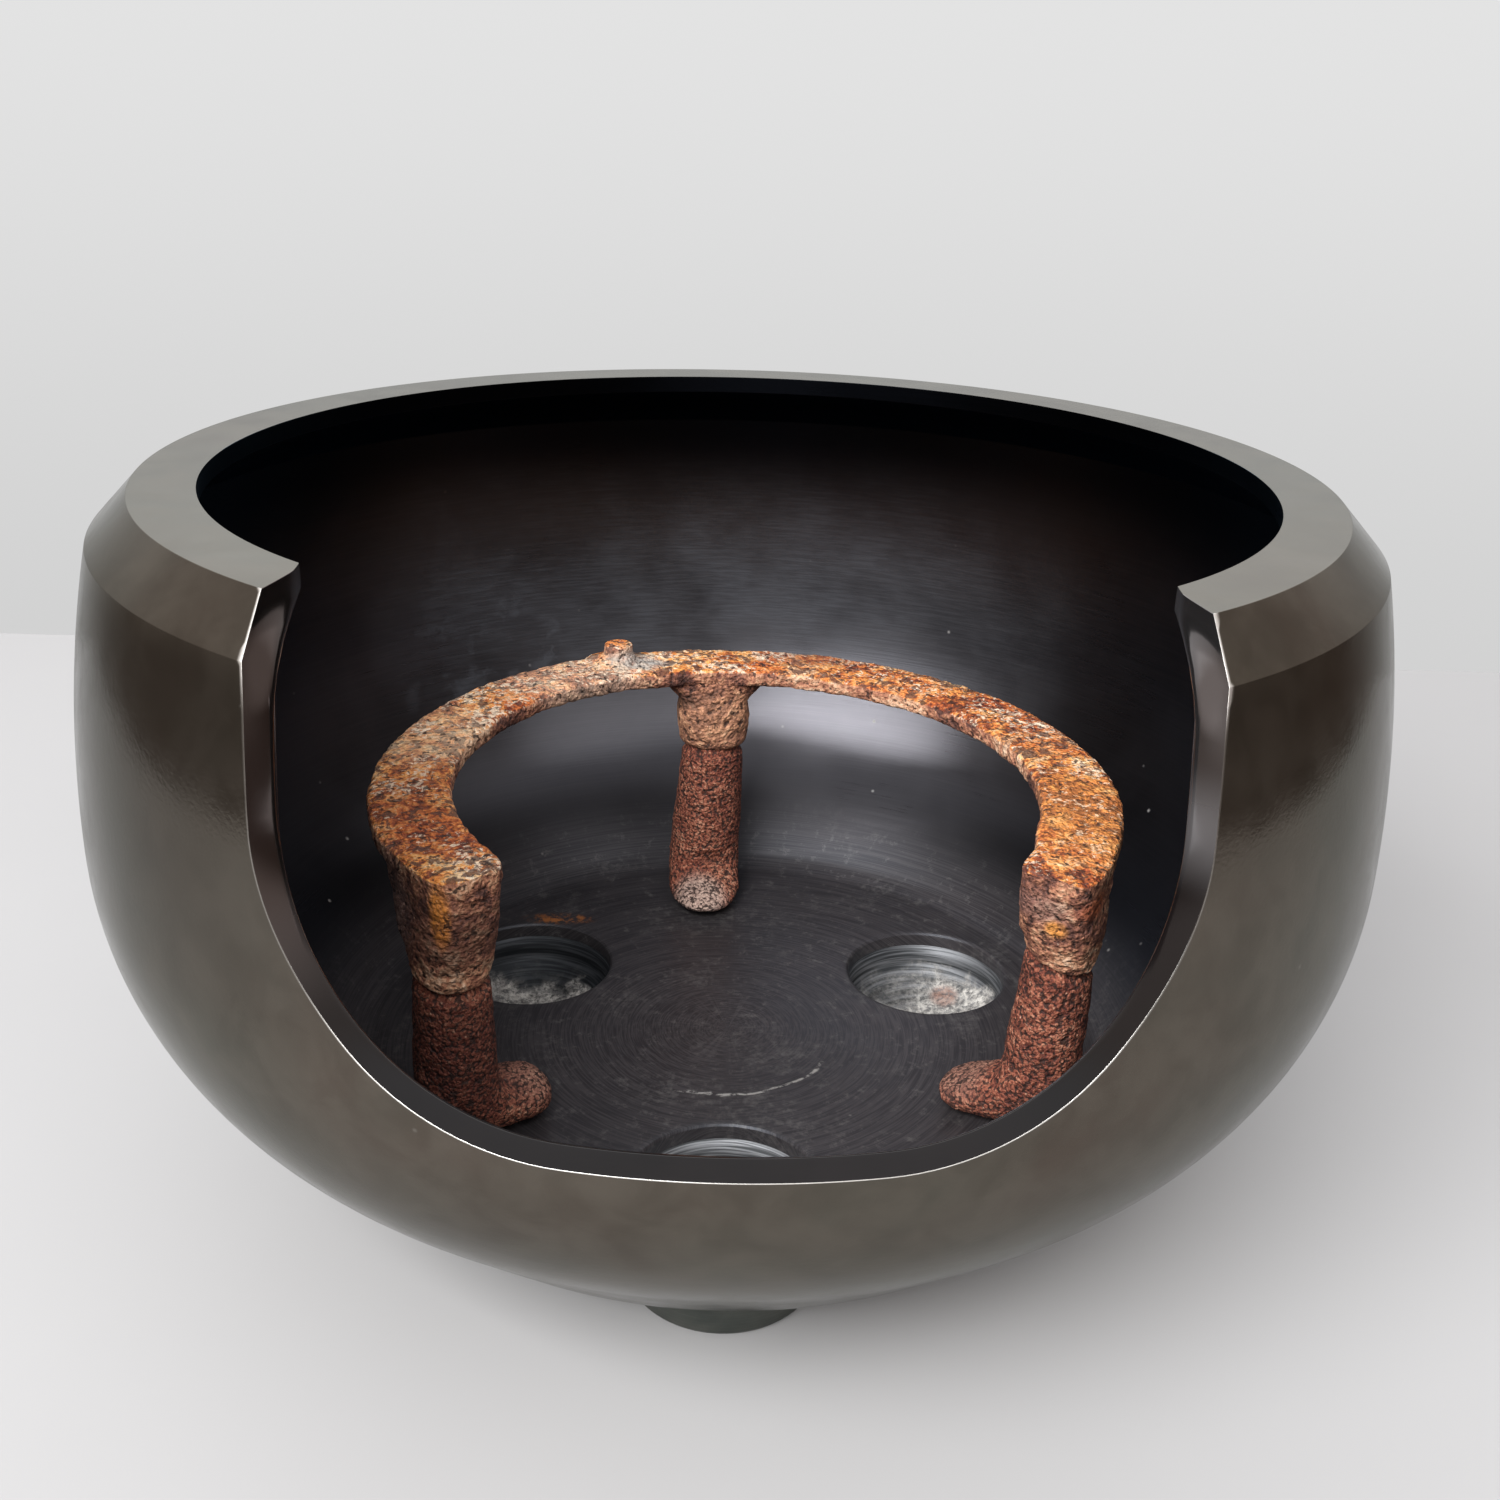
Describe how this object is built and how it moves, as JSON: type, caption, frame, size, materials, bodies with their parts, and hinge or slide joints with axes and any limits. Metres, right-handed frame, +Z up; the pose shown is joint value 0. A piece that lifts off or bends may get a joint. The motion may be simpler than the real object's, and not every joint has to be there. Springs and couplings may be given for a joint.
{
  "type": "furo brazier",
  "caption": "Round front-cut brazier bowl with a bevelled rim, standing on hollow cup feet, with a lift-out open-ring iron trivet inside for a tea kettle over charcoal.",
  "frame": {"origin": "on the bowl's axis, on the ground under the feet", "axes": "+Z up along the bowl's axis, -Y out through the front window, +X to the right seen from the front"},
  "size_m": [0.333, 0.3319, 0.196],
  "materials": {
    "bronze_bowl": "cast bronze, turned inside, dark brown satin patina outside and black inside, edges worn bright",
    "bronze_foot": "cast bronze with a dark green-black patina",
    "iron_ring": "cast iron with flaking orange rust",
    "iron_leg": "cast iron with pitted dark red-brown rust"
  },
  "bodies": {
    "brazier": {"bowl": "bronze_bowl", "foot_front": "bronze_foot", "foot_rear_left": "bronze_foot", "foot_rear_right": "bronze_foot"},
    "trivet": {"trivet_ring": "iron_ring", "trivet_leg_back": "iron_leg", "trivet_leg_left": "iron_leg", "trivet_leg_right": "iron_leg", "ring_peg": "iron_ring"}
  },
  "joints": [
    {"name": "trivet_lift", "type": "slide", "parent": "brazier", "child": "trivet", "axis": [0, 0, 1], "range_m": [0, 0.18]}
  ]
}
